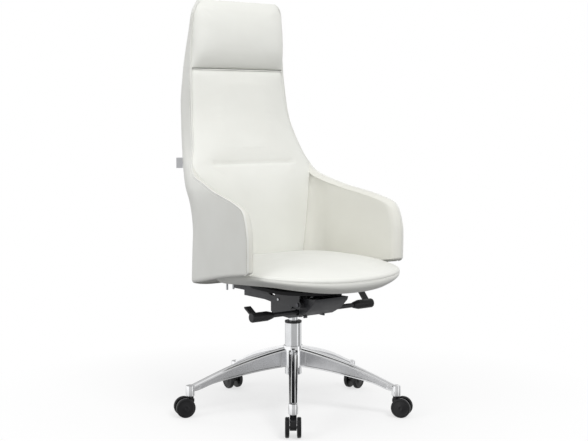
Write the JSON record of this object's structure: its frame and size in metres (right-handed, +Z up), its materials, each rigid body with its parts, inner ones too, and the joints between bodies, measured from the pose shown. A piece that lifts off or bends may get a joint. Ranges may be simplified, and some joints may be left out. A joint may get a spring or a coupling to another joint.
{
  "type": "swivel office chair",
  "caption": "High-back swivel office chair with a one-piece padded shell and arms, a separate seat, a synchronous tilt mechanism, a gas column and a five-star caster base.",
  "frame": {"origin": "on the floor, on the gas column's axis", "axes": "+Z up along the column; the sitter faces -Y, so -X is at the sitter's right hand"},
  "size_m": [0.7083, 0.6849, 1.243],
  "materials": {
    "shell_leather": "warm white leather with a fine pebbled grain",
    "back_leather": "warm white leather with a fine pebbled grain",
    "arm_leather": "warm white leather with a fine pebbled grain",
    "seat_leather": "warm white leather with a fine pebbled grain",
    "plywood": "moulded beech plywood, sealed",
    "polished_aluminium": "die-cast aluminium, polished ridge and brushed flanks",
    "column_chrome": "bright chrome",
    "cylinder_steel": "ground and chromed",
    "mechanism_paint": "dark grey powder coat, satin",
    "lever_rod": "black powder coat, satin",
    "lever_plastic": "black moulded nylon, fine texture",
    "black_plastic": "black acetal",
    "caster_plastic": "black moulded nylon",
    "caster_wheel": "black nylon wheel with a softer tread",
    "tag_metal": "satin, blank",
    "zinc_steel": "zinc plated"
  },
  "bodies": {
    "base": {"five_star_base": "polished_aluminium", "stem_sockets": "black_plastic", "caster_stems": "zinc_steel", "column_outer_tube": "column_chrome", "column_cap_ring": "black_plastic", "column_guide_bush": "black_plastic", "thrust_bearing": "zinc_steel"},
    "piston": {"piston_rod": "zinc_steel", "piston_head": "zinc_steel", "rod_clip": "zinc_steel"},
    "column": {"gas_cylinder": "cylinder_steel", "cylinder_gland": "black_plastic", "mechanism_housing": "mechanism_paint", "main_pivot_pin": "zinc_steel", "seat_pivot_pin": "zinc_steel", "pivot_spacers": "black_plastic", "tilt_springs": "zinc_steel", "height_lever_pin": "zinc_steel"},
    "valve": {"valve_button": "zinc_steel"},
    "height_lever_body": {"height_lever": "lever_rod", "height_lever_paddle": "lever_plastic"},
    "tilt_lock_body": {"tilt_lock_shaft": "lever_rod", "tilt_lock_paddle": "lever_plastic", "tilt_lock_cam": "zinc_steel"},
    "backrest": {"back_fork": "mechanism_paint", "fork_bolts": "zinc_steel", "link_pins": "zinc_steel", "shell_core": "plywood", "outer_shell": "shell_leather", "back_cushion": "back_leather", "headrest_cushion": "back_leather", "left_arm_pad": "arm_leather", "right_arm_pad": "arm_leather", "side_tag": "tag_metal"},
    "seat": {"seat_plate": "mechanism_paint", "seat_bolts": "zinc_steel", "seat_pan": "plywood", "seat_cushion": "seat_leather"},
    "caster_1": {"caster_body_1": "caster_plastic", "caster_axle_1": "zinc_steel"},
    "wheel_body_1a": {"wheel_1a": "caster_wheel"},
    "wheel_body_1b": {"wheel_1b": "caster_wheel"},
    "caster_2": {"caster_body_2": "caster_plastic", "caster_axle_2": "zinc_steel"},
    "wheel_body_2a": {"wheel_2a": "caster_wheel"},
    "wheel_body_2b": {"wheel_2b": "caster_wheel"},
    "caster_3": {"caster_body_3": "caster_plastic", "caster_axle_3": "zinc_steel"},
    "wheel_body_3a": {"wheel_3a": "caster_wheel"},
    "wheel_body_3b": {"wheel_3b": "caster_wheel"},
    "caster_4": {"caster_body_4": "caster_plastic", "caster_axle_4": "zinc_steel"},
    "wheel_body_4a": {"wheel_4a": "caster_wheel"},
    "wheel_body_4b": {"wheel_4b": "caster_wheel"},
    "caster_5": {"caster_body_5": "caster_plastic", "caster_axle_5": "zinc_steel"},
    "wheel_body_5a": {"wheel_5a": "caster_wheel"},
    "wheel_body_5b": {"wheel_5b": "caster_wheel"}
  },
  "joints": [
    {"name": "seat_swivel", "type": "hinge", "parent": "base", "child": "piston", "pos_m": [0, 0, 0.12], "axis": [0, 0, 1], "continuous": true},
    {"name": "seat_height", "type": "slide", "parent": "piston", "child": "column", "axis": [0, 0, 1], "range_m": [0, 0.08]},
    {"name": "valve_press", "type": "slide", "parent": "column", "child": "valve", "axis": [0, 0, -1], "range_m": [0, 0.0042], "stiffness_N_per_m": 900, "springref_m": -0.002},
    {"name": "height_lever_lift", "type": "hinge", "parent": "column", "child": "height_lever_body", "pos_m": [-0.04, -0.099, 0.314], "axis": [0, 1, 0], "range_deg": [0, 6], "stiffness_Nm_per_rad": 14, "springref_deg": -6.88},
    {"name": "tilt_lock_turn", "type": "hinge", "parent": "column", "child": "tilt_lock_body", "pos_m": [0.05, -0.099, 0.314], "axis": [1, 0, 0], "range_deg": [0, 25]},
    {"name": "back_tilt", "type": "hinge", "parent": "column", "child": "backrest", "pos_m": [0, -0.078, 0.337], "axis": [-1, 0, 0], "range_deg": [0, 16], "stiffness_Nm_per_rad": 220, "springref_deg": -25.78},
    {"name": "seat_tilt", "type": "hinge", "parent": "column", "child": "seat", "pos_m": [0, -0.125, 0.34], "axis": [-1, 0, 0], "range_deg": [0, 8]},
    {"name": "caster_swivel_1", "type": "hinge", "parent": "base", "child": "caster_1", "pos_m": [-0.19525, -0.25353, 0.05], "axis": [0, 0, 1], "continuous": true},
    {"name": "wheel_spin_1a", "type": "hinge", "parent": "caster_1", "child": "wheel_body_1a", "pos_m": [-0.20592, -0.2674, 0.029], "axis": [-0.7923, 0.6101, 0], "continuous": true},
    {"name": "wheel_spin_1b", "type": "hinge", "parent": "caster_1", "child": "wheel_body_1b", "pos_m": [-0.20592, -0.2674, 0.029], "axis": [-0.7923, 0.6101, 0], "continuous": true},
    {"name": "caster_swivel_2", "type": "hinge", "parent": "base", "child": "caster_2", "pos_m": [0.18079, -0.26404, 0.05], "axis": [0, 0, 1], "continuous": true},
    {"name": "wheel_spin_2a", "type": "hinge", "parent": "caster_2", "child": "wheel_body_2a", "pos_m": [0.19068, -0.27848, 0.029], "axis": [-0.8251, -0.565, 0], "continuous": true},
    {"name": "wheel_spin_2b", "type": "hinge", "parent": "caster_2", "child": "wheel_body_2b", "pos_m": [0.19068, -0.27848, 0.029], "axis": [-0.8251, -0.565, 0], "continuous": true},
    {"name": "caster_swivel_3", "type": "hinge", "parent": "base", "child": "caster_3", "pos_m": [0.30698, 0.09035, 0.05], "axis": [0, 0, 1], "continuous": true},
    {"name": "wheel_spin_3a", "type": "hinge", "parent": "caster_3", "child": "wheel_body_3a", "pos_m": [0.32377, 0.09529, 0.029], "axis": [0.2823, -0.9593, 0], "continuous": true},
    {"name": "wheel_spin_3b", "type": "hinge", "parent": "caster_3", "child": "wheel_body_3b", "pos_m": [0.32377, 0.09529, 0.029], "axis": [0.2823, -0.9593, 0], "continuous": true},
    {"name": "caster_swivel_4", "type": "hinge", "parent": "base", "child": "caster_4", "pos_m": [0.00894, 0.31988, 0.05], "axis": [0, 0, 1], "continuous": true},
    {"name": "wheel_spin_4a", "type": "hinge", "parent": "caster_4", "child": "wheel_body_4a", "pos_m": [0.00942, 0.33737, 0.029], "axis": [0.9996, -0.0279, 0], "continuous": true},
    {"name": "wheel_spin_4b", "type": "hinge", "parent": "caster_4", "child": "wheel_body_4b", "pos_m": [0.00942, 0.33737, 0.029], "axis": [0.9996, -0.0279, 0], "continuous": true},
    {"name": "caster_swivel_5", "type": "hinge", "parent": "base", "child": "caster_5", "pos_m": [-0.30146, 0.10734, 0.05], "axis": [0, 0, 1], "continuous": true},
    {"name": "wheel_spin_5a", "type": "hinge", "parent": "caster_5", "child": "wheel_body_5a", "pos_m": [-0.31794, 0.11321, 0.029], "axis": [0.3355, 0.9421, 0], "continuous": true},
    {"name": "wheel_spin_5b", "type": "hinge", "parent": "caster_5", "child": "wheel_body_5b", "pos_m": [-0.31794, 0.11321, 0.029], "axis": [0.3355, 0.9421, 0], "continuous": true}
  ],
  "couplings": [
    {"joint": "seat_tilt", "follows": "back_tilt", "ratio": 0.5},
    {"joint": "valve_press", "follows": "height_lever_lift", "m_per_rad": 0.04}
  ]
}
